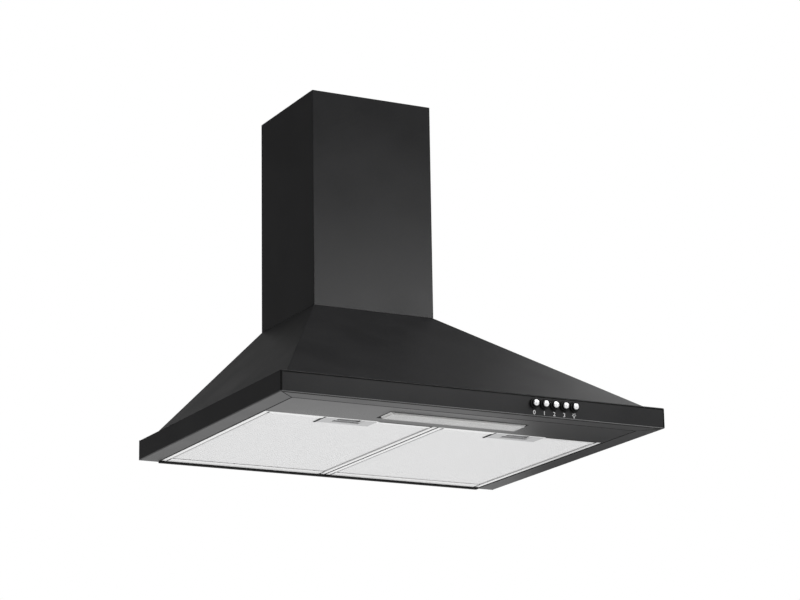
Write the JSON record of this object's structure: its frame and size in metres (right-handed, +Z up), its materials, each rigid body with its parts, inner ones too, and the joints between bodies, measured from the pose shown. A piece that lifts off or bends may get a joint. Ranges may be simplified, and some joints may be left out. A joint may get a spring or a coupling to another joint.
{
  "type": "chimney range hood",
  "caption": "Wall-mounted chimney range hood: pyramid canopy with push buttons, lamp and hinged grease filters, blower with duct spigot and flaps, telescopic chimney.",
  "frame": {"origin": "midpoint of the two hanging holes, on the wall face of the back panel", "axes": "+Z up, +Y into the wall, +X to the right as seen from the front"},
  "size_m": [0.6, 0.508, 0.553],
  "materials": {
    "black_paint": "satin black powder coat on steel sheet",
    "bottom_paint": "satin black powder coat on steel sheet, underside",
    "galvanised": "galvanised steel sheet",
    "filter_aluminium": "bright rolled aluminium",
    "latch_plastic": "pale grey moulded plastic",
    "spring_steel": "spring steel",
    "chrome_cap": "bright chrome plating",
    "button_plastic": "black moulded plastic",
    "switch_plastic": "black moulded plastic",
    "lens_glass": "clear ribbed cover",
    "bulb_glass": "frosted glass",
    "bulb_brass": "rolled brass cap",
    "lamp_ceramic": "white moulded lamp holder",
    "lamp_box_white": "white enamelled reflector box",
    "blower_plastic": "black moulded plastic",
    "wheel_plastic": "moulded plastic wheel",
    "motor_steel": "painted motor can",
    "shaft_steel": "ground steel",
    "bush_rubber": "black rubber",
    "zinc_screws": "zinc plated steel",
    "spigot_plastic": "black moulded plastic",
    "capacitor_can": "pale moulded can",
    "terminal_plastic": "pale grey moulded plastic"
  },
  "bodies": {
    "hood": {"canopy_shell": "black_paint", "back_panel": "galvanised", "panel_screws": "zinc_screws", "bottom_panel": "bottom_paint", "lamp_housing": "lamp_box_white", "lamp_housing_ends": "lamp_box_white", "lamp_holders": "lamp_ceramic", "bulbs": "bulb_glass", "bulb_caps": "bulb_brass", "switch_block": "switch_plastic", "blower_housing_left": "blower_plastic", "blower_housing_right": "blower_plastic", "motor_body": "motor_steel", "motor_bracket": "galvanised", "motor_bushes": "bush_rubber", "motor_screws": "zinc_screws", "inlet_grille": "blower_plastic", "blower_carrier": "galvanised", "blower_screws": "zinc_screws", "outlet_collar": "spigot_plastic", "capacitor": "capacitor_can", "capacitor_clip": "galvanised", "terminal_box": "terminal_plastic", "terminal_lid": "terminal_plastic", "flue_lower": "black_paint", "flue_bracket": "galvanised"},
    "lamp_cover": {"lamp_lens": "lens_glass"},
    "blower_wheel": {"impeller": "wheel_plastic", "motor_shaft": "shaft_steel"},
    "front_flap": {"flap_front": "spigot_plastic"},
    "rear_flap": {"flap_rear": "spigot_plastic"},
    "inner_flue": {"flue_upper": "black_paint"},
    "button_0": {"button_cap_0": "chrome_cap", "button_stem_0": "button_plastic"},
    "button_1": {"button_cap_1": "chrome_cap", "button_stem_1": "button_plastic"},
    "button_2": {"button_cap_2": "chrome_cap", "button_stem_2": "button_plastic"},
    "button_3": {"button_cap_3": "chrome_cap", "button_stem_3": "button_plastic"},
    "button_4": {"button_cap_4": "chrome_cap", "button_stem_4": "button_plastic"},
    "filter_left": {"filter_frame_left": "filter_aluminium", "filter_skins_left": "filter_aluminium", "filter_mesh_left": "filter_aluminium", "latch_housing_left": "latch_plastic", "latch_spring_left": "spring_steel"},
    "latch_left": {"latch_slide_left": "latch_plastic"},
    "filter_right": {"filter_frame_right": "filter_aluminium", "filter_skins_right": "filter_aluminium", "filter_mesh_right": "filter_aluminium", "latch_housing_right": "latch_plastic", "latch_spring_right": "spring_steel"},
    "latch_right": {"latch_slide_right": "latch_plastic"}
  },
  "joints": [
    {"name": "button_0_press", "type": "slide", "parent": "hood", "child": "button_0", "axis": [0, 1, 0], "range_m": [0, 0.0035], "stiffness_N_per_m": 300, "springref_m": -0.004},
    {"name": "button_1_press", "type": "slide", "parent": "hood", "child": "button_1", "axis": [0, 1, 0], "range_m": [0, 0.0035], "stiffness_N_per_m": 300, "springref_m": -0.004},
    {"name": "button_2_press", "type": "slide", "parent": "hood", "child": "button_2", "axis": [0, 1, 0], "range_m": [0, 0.0035], "stiffness_N_per_m": 300, "springref_m": -0.004},
    {"name": "button_3_press", "type": "slide", "parent": "hood", "child": "button_3", "axis": [0, 1, 0], "range_m": [0, 0.0035], "stiffness_N_per_m": 300, "springref_m": -0.004},
    {"name": "button_4_press", "type": "slide", "parent": "hood", "child": "button_4", "axis": [0, 1, 0], "range_m": [0, 0.0035], "stiffness_N_per_m": 300, "springref_m": -0.004},
    {"name": "filter_left_hinge", "type": "hinge", "parent": "hood", "child": "filter_left", "pos_m": [-0.13475, -0.009, -0.1646], "axis": [1, 0, 0], "range_deg": [0, 75]},
    {"name": "latch_left_slide", "type": "slide", "parent": "filter_left", "child": "latch_left", "axis": [0, 1, 0], "range_m": [0, 0.008], "stiffness_N_per_m": 200, "springref_m": -0.004, "deforming": ["latch_spring_left"]},
    {"name": "filter_right_hinge", "type": "hinge", "parent": "hood", "child": "filter_right", "pos_m": [0.13475, -0.009, -0.1646], "axis": [1, 0, 0], "range_deg": [0, 75]},
    {"name": "latch_right_slide", "type": "slide", "parent": "filter_right", "child": "latch_right", "axis": [0, 1, 0], "range_m": [0, 0.008], "stiffness_N_per_m": 200, "springref_m": -0.004, "deforming": ["latch_spring_right"]},
    {"name": "lamp_cover_hinge", "type": "hinge", "parent": "hood", "child": "lamp_cover", "pos_m": [0, -0.4092, -0.166], "axis": [1, 0, 0], "range_deg": [0, 90]},
    {"name": "blower_wheel_spin", "type": "hinge", "parent": "hood", "child": "blower_wheel", "pos_m": [0, -0.13, -0.047], "axis": [1, 0, 0], "continuous": true},
    {"name": "front_flap_hinge", "type": "hinge", "parent": "hood", "child": "front_flap", "pos_m": [0, -0.09395, 0.065], "axis": [-1, 0, 0], "range_deg": [0, 80]},
    {"name": "rear_flap_hinge", "type": "hinge", "parent": "hood", "child": "rear_flap", "pos_m": [0, -0.08955, 0.065], "axis": [1, 0, 0], "range_deg": [0, 80]},
    {"name": "inner_flue_slide", "type": "slide", "parent": "hood", "child": "inner_flue", "axis": [0, 0, 1], "range_m": [0, 0.27]}
  ]
}
